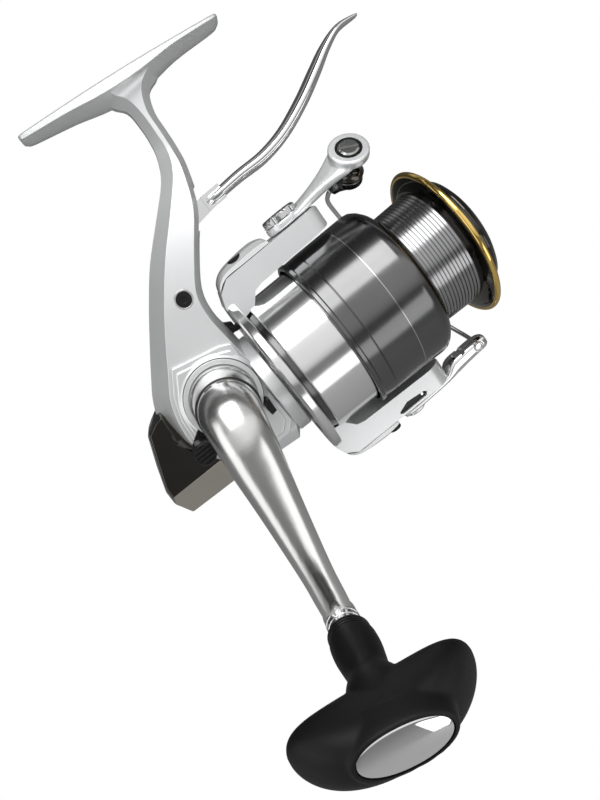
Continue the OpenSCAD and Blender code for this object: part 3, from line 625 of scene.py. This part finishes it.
def make_reverse_lever():
    ring = turned([(11.55, 9.95), (12.15, 9.95), (12.15, 11.2), (11.55, 11.2)], DRIVE, OUT, True)
    wing = plate([(-16.2, -2.4), (-16.2, 3), (-10.4, 6.6), (-9.6, 0)], -12.15, -11.6)
    tab = plate([(7.6, -3.2), (7.4, -0.6), (8.9, 1.4), (9.6, 1.2), (9.4, -2.9)], -15.4, -11.6)
    add("reverse_ring", join(ring, wing, tab), "black_plastic", "reverse", ["reverse_lever"], bevel=0.2)
    post = turned([(11.7, 3.3), (17.9, 3.3), (18.4, 2.9)], REVERSE_POST, OUT, steps=64)
    ribs = [plate([(-15.6, z), (-10.8, z), (-10.8, z + 0.55), (-15.6, z + 0.55)], -18.75, -18.2)
            for z in (-0.95, 0.2, 1.35, 2.5)]
    add("reverse_grip", join(post, *ribs), "black_plastic", "reverse", bevel=0.18)


# ---------- handle ----------


def crank_at(d, y):
    return tuple(Vector((0, y, DRIVE[2])) + d * CRANK_DIR)


# Middle of each section, then its half width and half thickness.
ARM = [
    crank_at(-0.4, -27.35) + (7.8, 7.8), crank_at(-0.3, -30) + (8, 8), crank_at(0.9, -33.4) + (7.9, 7.6),
    crank_at(5, -36.6) + (7.4, 6.8), crank_at(12, -38.2) + (6.9, 5.9), crank_at(22.5, -39.8) + (5.9, 5.1),
    crank_at(34, -41.5) + (5, 4.5), crank_at(45, -43) + (4.3, 4), crank_at(52.5, -43.9) + (4.2, 3.8),
    crank_at(57, -44.5) + (3.9, 3.4), crank_at(59.5, -44.7) + (2.9, 2.6),
]


def make_handle():
    collar = [
        (13.25, 6), (13.25, 9.4), (16.1, 9.4), (16.6, 8.9), (16.9, 8.85), (24.6, 8.3), (26.2, 7.9),
        (26.2, 5),
    ]
    add("handle_collar", turned(collar, DRIVE, OUT), "satin_metal", "crank", ["handle_collar"], bevel=0.25)
    seal = torus(7.9, 0.7, SEAL_SPOT, OUT)
    add("handle_seal", seal, "seal_rubber", "crank", ["handle_seal"], sharp=60)
    limb = sweep(spline(ARM, 6), CRANK_SIDE, 2.0, 48)
    eye = turned([(41.6, 3.6), (42.4, 4.5), (46.6, 4.5)], KNOB_SPOT, OUT, steps=64)
    arm = build("handle_arm", join(limb, eye), "satin_metal")
    melt(arm, 0.42, 6)
    for x in (-1.6, 2.2):
        carve(arm, loft([[(x, y, z), (x + 2.4, y, z), (x + 2.4, y + 1.5, z), (x, y + 1.5, z)]
                         for y, z in ((-30.6, 14.4), (-30.6, 18))]))
    finish(arm, "satin_metal", "crank", ["handle_arm"], sharp=45)
    # Painted shade: a brass-coloured plate at the floor of the second elbow slot stands in for the ears there
    # as they look in shade.
    front = -30.55
    slot_shade_plate = loft([[(2.25, front, z), (4.55, front, z), (4.55, front + 1.4, z), (2.25, front + 1.4, z)]
                  for z in (14.2, 14.75)])
    add("elbow_slot_painted_shade", slot_shade_plate, "brass", "crank", bevel=0.1)
    ferrule = [
        (46.62, 4.45), (46.9, 4.6), (47.5, 4.6), (47.6, 4.4), (47.9, 4.4), (48, 4.55), (49.4, 4.5),
        (49.5, 4.3), (49.8, 4.3), (49.9, 4.5), (51.3, 4.5), (51.6, 4.3), (51.6, 3),
    ]
    add("arm_ferrule", turned(ferrule, KNOB_SPOT, OUT), "polished", "crank", ["arm_ferrule"], bevel=0.1)


def fullness(x, power):
    """Share of the full size that a swelling shape keeps at a share x of its half length."""
    return 1 - abs(x) ** power


def bar_ring(x):
    """Section of the T bar at a share x of its half length."""
    front = -80.7 - 11.3 * fullness(x, 2.1)
    back = -75.4 + 2 * fullness(x, 2)
    depth = (back - front) / 2 * math.sqrt(fullness(x, 6))
    half = 7.9 * math.sqrt(fullness(x, 6.8))
    middle = Vector((KNOB.x, (front + back) / 2 + 2.4 * x, KNOB.z)) + (x * 22.3 - 0.4) * BAR_DIR - BAR_SIDE
    return oval(middle, Vector((0, 1, 0)), BAR_SIDE, depth, half, 2.5, 48)


def face_oval(y, grow):
    """Ring round the knob's plate; grow widens it."""
    return oval((KNOB.x, y, KNOB.z), BAR_DIR, BAR_SIDE, 10.25 + 1.4 * grow, 5.2 + grow, 2.15, 72)


def make_knob():
    ends = [math.sin(math.pi / 2 * k / 22) for k in range(-21, 22)]
    waist = [
        (55.25, 5.7), (55.7, 5.95), (60, 6), (64, 5.6), (68, 5.15), (70.5, 5.5), (72.8, 6.6), (76.8, 7.6),
        (80.8, 7),
    ]
    bar = loft([bar_ring(x) for x in [-0.998] + ends + [0.998]])
    stalk = turned(spline(waist, 4), KNOB_SPOT, OUT, steps=80)
    pad = loft([face_oval(-85.5, 2.0), face_oval(-89.5, 1.3), face_oval(-91.3, 0.75)])
    grip = build("knob_grip", join(bar, stalk, pad), "soft_touch")
    melt(grip, 0.4, 8)
    carve(grip, loft([face_oval(-90.5, 0.12), face_oval(-96, 0.12)]))
    finish(grip, "soft_touch", "grip_knob", ["knob"], sharp=50)
    face = loft([face_oval(-90.4, 0), face_oval(-91.05, 0), face_oval(-91.35, -0.5)])
    add("knob_plate", face, "polished", "grip_knob", ["knob_plate"], bevel=0.12)
    ribs = [(51.95, 4.4), (51.95, 4.9)]
    for i in range(3):
        x = 52.35 + 0.95 * i
        ribs += [(x, 5.2), (x + 0.12, 5.6), (x + 0.6, 5.65), (x + 0.72, 5.25)]
    ribs += [(55.15, 5.3), (55.15, 4)]
    collar = turned(ribs, KNOB_SPOT, OUT)
    add("knob_collar", collar, "black_plastic", "grip_knob", ["knob_collar"], bevel=0.08)


# ---------- brake lever ----------

# Middle of each section, then its half width and half thickness.
LEVER = [
    (29, 0, 49.6, 2.4, 1.6), (33, 0, 49.6, 4.2, 1.5), (40.5, 0, 49.8, 4.8, 1.6), (48.5, 0, 49.6, 5, 1.7),
    (56.5, 0, 50.9, 5, 1.7), (65, 0, 54, 4.8, 1.7), (72, 0, 57.4, 4.4, 1.6), (77.5, 0, 60.2, 3.8, 1.3),
    (82.8, 0, 61.9, 3, 0.9), (88.2, 0, 61.5, 1.6, 0.45), (88.8, 0, 61.4, 0.7, 0.2),
]


def make_brake_lever():
    root_outline = [(14.9, 48.3), (15.2, 50.2), (19, 51.6), (34, 51.9), (34, 48.1), (24, 47), (18.5, 47.2)]
    root = plate(root_outline, -1.5, 1.5)
    block = plate([(28.8, 51.9), (34.6, 51.9), (34.6, 47.8), (28.8, 47.8)], -2.6, 2.6)
    blade = sweep(spline(LEVER, 6), (0, 1, 0), 2.6, 48)
    add("lever_blade", join(blade, root, block), "polished", "lever", ["brake_lever"], bevel=0.3, sharp=38)


# ---------- rotor ----------

ROTOR = [
    (15.8, 20.5), (15.8, 25.9), (16.4, 26.6), (18.3, 26.6), (18.6, 26.2), (18.6, 21), (20.6, 21),
    (20.6, 22.1), (21, 22.5), (43.7, 22.5), (44, 22.2), (44, 20.7), (31, 20.7), (31, 3.1), (28, 3.1),
    (28, 20.5),
]


def arm_outline(tip):
    """Side outline of a rotor arm whose rounded end stands at x = tip."""
    return [(15.8, 20.2), (15.8, 25.8), (17.2, 29.5), (20.8, 31.9), (tip - 1, 31.9), (tip, 31), (tip, 26.3),
            (tip - 0.8, 25.7), (27.6, 25.2), (25.2, 24.6), (22.6, 21.6)]


# Place along the axis, base height, crown height.
COVER_CROWN = [(17.5, 29.9, 30.3), (18.4, 30.8, 32.2), (21.2, 32.1, 34.1), (27, 32.1, 34.9), (32, 32.1, 35),
               (35, 32.1, 34.2), (35.7, 32.1, 33.2)]


def crown_ring(row, side):
    x, low, high = row
    rise = high - low
    half = [(6.4, low), (6.3, low + 0.45 * rise), (4.2, low + 0.86 * rise), (1.4, high)]
    ring = half + [(-y, z) for y, z in reversed(half)]
    return [(x, y, side * z) for y, z in ring]


# Dark slot in the near side of the lower arm.
SLOT_OUTLINE = [
    (37.6, -31), (37.4, -30.3), (41, -28.9), (47, -29.5), (47.8, -30.2), (47, -31.2), (38.4, -31.3),
]


def outer_corner(tip, side, edge):
    """Cutter that rounds one corner of an arm's end, seen from above."""
    centre = tip - ARM_HALF
    turns = [math.pi / 28 * k for k in range(15)]
    bend = [(centre + ARM_HALF * math.sin(t), edge * ARM_HALF * math.cos(t)) for t in turns]
    outline = bend + [(centre + 8, 0), (centre + 8, edge * 8), (centre, edge * 8)]
    return loft([[(x, y, side * z) for x, y in outline] for z in (20, 40)])


def make_rotor():
    cup = turned(ROTOR, CENTRE, AXLE, True, 160)
    add("rotor_cup", cup, "bright_rotor", "rotor_set", ["rotor"], bevel=0.2)
    groove = turned([(18.65, 22), (19.2, 21.2), (20.55, 21.6)], CENTRE, AXLE, steps=120)
    add("rotor_groove", groove, "gunmetal", "rotor_set")
    for name, side in (("upper", 1), ("lower", -1)):
        tip = 52.8 if side > 0 else 56.8
        side_view = [(x, side * z) for x, z in arm_outline(tip)]
        arm = build(f"{name}_rotor_arm", plate(side_view, -ARM_HALF, ARM_HALF), "silver_paint")
        carve(arm, *[outer_corner(tip, side, edge) for edge in (-1, 1)])
        if side < 0:
            carve(arm, plate(SLOT_OUTLINE, -8, -5.3))
            slot = plate(shrink(SLOT_OUTLINE, 0.97), -5.6, -5.25)
            add("lower_arm_slot", slot, "black_plastic", "rotor_set")
            rivet = turned([(5.3, 0.5), (5.7, 0.5), (5.8, 0.4)], (46.2, 0, -30.2), OUT, steps=40)
            add("lower_arm_rivet", rivet, "polished", "rotor_set", bevel=0.08)
        finish(arm, "silver_paint", "rotor_set", bevel=0.6, sharp=24, segments=4)
        dome = loft([crown_ring(s, side) for s in spline(COVER_CROWN, 4)])
        crown = build(f"{name}_arm_cover", dome, "silver_paint")
        spot = (26 if side > 0 else 34, -3.3, 0)
        away = (0, 0, side)
        carve(crown, turned([(33.5, 2.15), (37, 2.15)], spot, away, steps=48))
        finish(crown, "silver_paint", "rotor_set", [f"{name}_arm_cover"], bevel=0.35, sharp=16)
        disc = turned([(33, 2.05), (34.75, 2.05)], spot, away, steps=48)
        screw = build(f"{name}_cover_screw", disc, "black_screw")
        carve(screw, turned([(34.2, 0.9), (36, 0.9)], spot, away, steps=6))
        finish(screw, "black_screw", "rotor_set", ["arm_cover_screws"] if side > 0 else [], bevel=0.12)


# ---------- bail ----------

WIRE_RADIUS = 0.7
WIRE = [
    (59.6, 3, 31.6), (60.2, 11, 30.4), (62, 23, 27.6), (65.2, 35, 21.5), (67.6, 41.4, 13),
    (69.2, 44.6, 4), (70.2, 44.4, -5), (70.8, 40.4, -14), (71.4, 32, -22.5), (71.8, 21.6, -28.2),
    (71.6, 11, -31), (70.6, 4.5, -31), (70.4, 2.2, -31),
]


def make_bail():
    strip = spline([
        (43.5, 0, 33.35, 5, 1.0), (47, -0.3, 33.5, 4.1, 1.2), (51.5, -1.1, 34, 3.1, 1.5),
        (56, -2.1, 34.8, 3.4, 1.6), (60, -3.2, 35.6, 4.2, 1.6), (63.5, -4.1, 36.3, 5.0, 1.5),
        (66.5, -4.9, 36.9, 5, 1.2)], 5)
    path = [Vector(row[:3]) for row in strip]
    rings = []
    for i, row in enumerate(strip):
        ahead = unit(path[min(i + 1, len(path) - 1)] - path[max(i - 1, 0)])
        share = i / (len(strip) - 1)
        flat = unit(Vector(UP) * (1 - share) - ROLLER_DIR * share)
        side = unit(ahead.cross(flat))
        rings.append(oval(path[i], side, side.cross(ahead), row[3], row[4], 2.6, 36))
    disc = turned([(-1.25, 5.2), (-0.9, 5.6), (0.9, 5.6), (1.25, 5.2)], ROLLER, -ROLLER_DIR, steps=80)
    eye = turned([(32.3, 4.9), (32.6, 5.3), (34.1, 5.3), (34.4, 5)], PIVOT, UP, steps=80)
    arm = build("bail_arm", join(loft(rings), disc, eye), "silver_paint")
    melt(arm, 0.26, 5)
    carve(arm, turned([(0.7, 3.7), (4, 3.7)], ROLLER, -ROLLER_DIR, steps=64),
          turned([(34.45, 5.7), (40, 5.7)], PIVOT, UP, steps=64))
    finish(arm, "silver_paint", "bail", ["bail_arm"], sharp=40)
    seat = turned([(0.72, 2.9), (0.72, 3.65), (1.25, 3.65), (1.25, 2.9)], ROLLER, -ROLLER_DIR, True, 64)
    add("roller_screw_seat", seat, "black_plastic", "bail", bevel=0.1)
    disc = turned([(0.4, 2.8), (1.3, 2.8), (1.65, 2.4)], ROLLER, -ROLLER_DIR, steps=64)
    head = build("roller_screw_head", disc, "steel")
    slant = Vector((0.75, 0.1, -0.62))
    along = unit(slant - ROLLER_DIR * slant.dot(ROLLER_DIR))
    across = along.cross(ROLLER_DIR)
    carve(head, loft([[ROLLER - ROLLER_DIR * h + along * a + across * b for a, b in
                       ((-4, -0.4), (4, -0.4), (4, 0.4), (-4, 0.4))] for h in (1.15, 3)]))
    finish(head, "steel", "bail", ["roller_screw"], bevel=0.1)
    crown = [(34.5, 5.0), (34.6, 5.3), (35.9, 5.3), (36.35, 4.8), (36.35, 2.8), (36.1, 2.5)]
    cap = build("bail_cap", turned(crown, PIVOT, UP, steps=96), "polished")
    for k in range(6):
        t = math.radians(60 * k)
        notch = (PIVOT_X + 5.6 * math.cos(t), 5.6 * math.sin(t), 0)
        carve(cap, turned([(34, 1.0), (37, 1.0)], notch, UP, steps=32))
    finish(cap, "polished", "rotor_set", ["bail_pivots"], bevel=0.12)
    lower = turned([(34.5, 3.2), (35.2, 3.4), (35.6, 3.0)], PIVOT, DOWN, steps=64)
    add("lower_pivot_cap", lower, "polished", "rotor_set", bevel=0.1)
    waist = [
        (1.75, 2.4), (1.75, 4.2), (2.3, 4.3), (2.7, 3.75), (3.6, 3.3), (4.4, 3.2), (5.3, 3.35),
        (6.1, 3.8), (6.6, 4.2), (7.1, 4.1), (7.1, 2.4),
    ]
    roller = turned(waist, ROLLER, ROLLER_DIR, True, 96)
    add("line_roller", roller, "dark_chrome", "roller", ["line_roller"], bevel=0.12)
    washer = turned([(7.45, 3.6), (7.6, 3.9), (9.5, 3.9), (9.9, 3.4)], ROLLER, ROLLER_DIR, steps=64)
    start = tuple(ROLLER + 8.6 * ROLLER_DIR) + (3.2, 1.2)
    spout = sweep(spline([start, (61.8, 2, 31.8, 2.3, 1.3), (59.8, 3.6, 31.2, 1.3, 1.1)], 5), UP, 2.4, 32)
    holder = build("wire_holder", join(washer, spout), "gunmetal")
    melt(holder, 0.22, 4)
    finish(holder, "satin_metal", "bail", ["wire_holder"], sharp=40)
    wire = sweep(spline([p + (WIRE_RADIUS, WIRE_RADIUS) for p in WIRE], 8), (1, 0, 0.2), 2.0, 24)
    add("bail_wire", wire, "polished", "bail", ["bail_wire"], sharp=60)
    low = spline([
        (39, 0, -33.4, 4.4, 1.0), (43, 0, -33.4, 4.9, 1.0), (48, 0, -33.4, 4.4, 1.0),
        (54, 0, -33.4, 3.6, 1.0), (57.5, 0, -32.7, 3.3, 1.6), (60, 0, -31.6, 3.2, 2.5),
        (64, 0, -31.2, 3.1, 2.4), (68, 0.2, -31, 3.1, 2.3), (71, 0.2, -31, 2.8, 2.1),
        (72.3, 0.2, -31, 2.0, 1.6)], 4)
    lever = build("bail_foot_lever", sweep(low, (0, 1, 0), 3.2, 40), "polished")
    carve(lever, plate([(63.3, -27), (63.3, -30), (64.6, -29.6), (65.6, -27)], -5, 5),
          turned([(2.5, 1.7), (5, 1.7)], WIRE_NUT, OUT, steps=48))
    finish(lever, "polished", "bail", ["bail_lever"], sharp=35)
    ring = [(2.3, 0.9), (2.9, 0.9), (3.0, 1.3), (2.7, 1.6), (2.3, 1.6)]
    add("bail_wire_nut", turned(ring, WIRE_NUT, OUT, True, 48), "steel", "bail", bevel=0.06)


# ---------- spool ----------

SKIRT = [
    (34.8, 23.3), (34.8, 24.2), (35.1, 24.6), (36.1, 24.6), (36.4, 24.15), (40, 24.3), (40.05, 24.1),
    (40.3, 24.1), (40.35, 24.3), (57.6, 24.3), (59, 24.05), (60.2, 23.3), (61.4, 22), (62.4, 20.2),
    (62.9, 18.6), (63, 17.4), (62, 16), (57.5, 16), (57.5, 22), (56, 23.3),
]
LAY_RINGS = 11
LAY_PITCH = 1.03


def make_spool():
    skirt = turned(SKIRT, CENTRE, AXLE, True, 192)
    add("spool_skirt", skirt, "gunmetal", "spool_set", ["spool"], bevel=0.12, sharp=28)
    line = turned([(50.4, 24.1), (50.4, 24.33), (50.62, 24.33), (50.62, 24.1)], CENTRE, AXLE, True, 192)
    add("spool_skirt_line", line, "bright_line", "spool_set")
    lay = [(63, 17.9)]
    for i in range(LAY_RINGS):
        x = 63.65 + LAY_PITCH * i
        lay += [(x, 18.0 + 0.02 * i), (x + 0.05, 17.7), (x + 0.22, 17.7), (x + 0.27, 18.0 + 0.02 * i)]
    lay += [(74.9, 18.3), (74.9, 16), (63, 16)]
    add("spool_lay", turned(lay, CENTRE, AXLE, True, 160), "lay_metal", "spool_set")
    flange = [
        (74.9, 16), (74.9, 18.4), (75.3, 20.2), (75.9, 21.6), (76.6, 22.8), (77.5, 22.8), (77.6, 17.4),
        (77, 16),
    ]
    add("spool_flange", turned(flange, CENTRE, AXLE, True, 160), "dark_chrome", "spool_set", bevel=0.15)
    lip = torus(22.75, 0.84, LIP_SPOT, AXLE, 192, 24)
    add("lip_ring", lip, "gold", "spool_set", ["lip_ring"], sharp=60)
    outside = [
        (72.2, 8), (72.2, 13), (77.9, 13), (77.9, 18.1), (78.2, 18.4), (80.4, 18.1), (80.6, 17.9),
        (80.9, 18), (82.2, 17), (83.2, 15.2), (84, 13), (84.5, 10), (84.8, 6), (84.95, 2),
    ]
    cap = turned(outside, CENTRE, AXLE, steps=160)
    add("drag_cap", cap, "dark_chrome", "drag", ["drag_knob"], bevel=0.12, sharp=25)
    line = turned([(78.7, 18.2), (78.75, 18.45), (79.1, 18.42), (79.15, 18.2)], CENTRE, AXLE, True, 160)
    add("drag_cap_line", line, "bright_line", "drag")


make_body()
make_covers()
make_tail_guard()
make_reverse_lever()
make_handle()
make_knob()
make_brake_lever()
make_rotor()
make_bail()
make_spool()
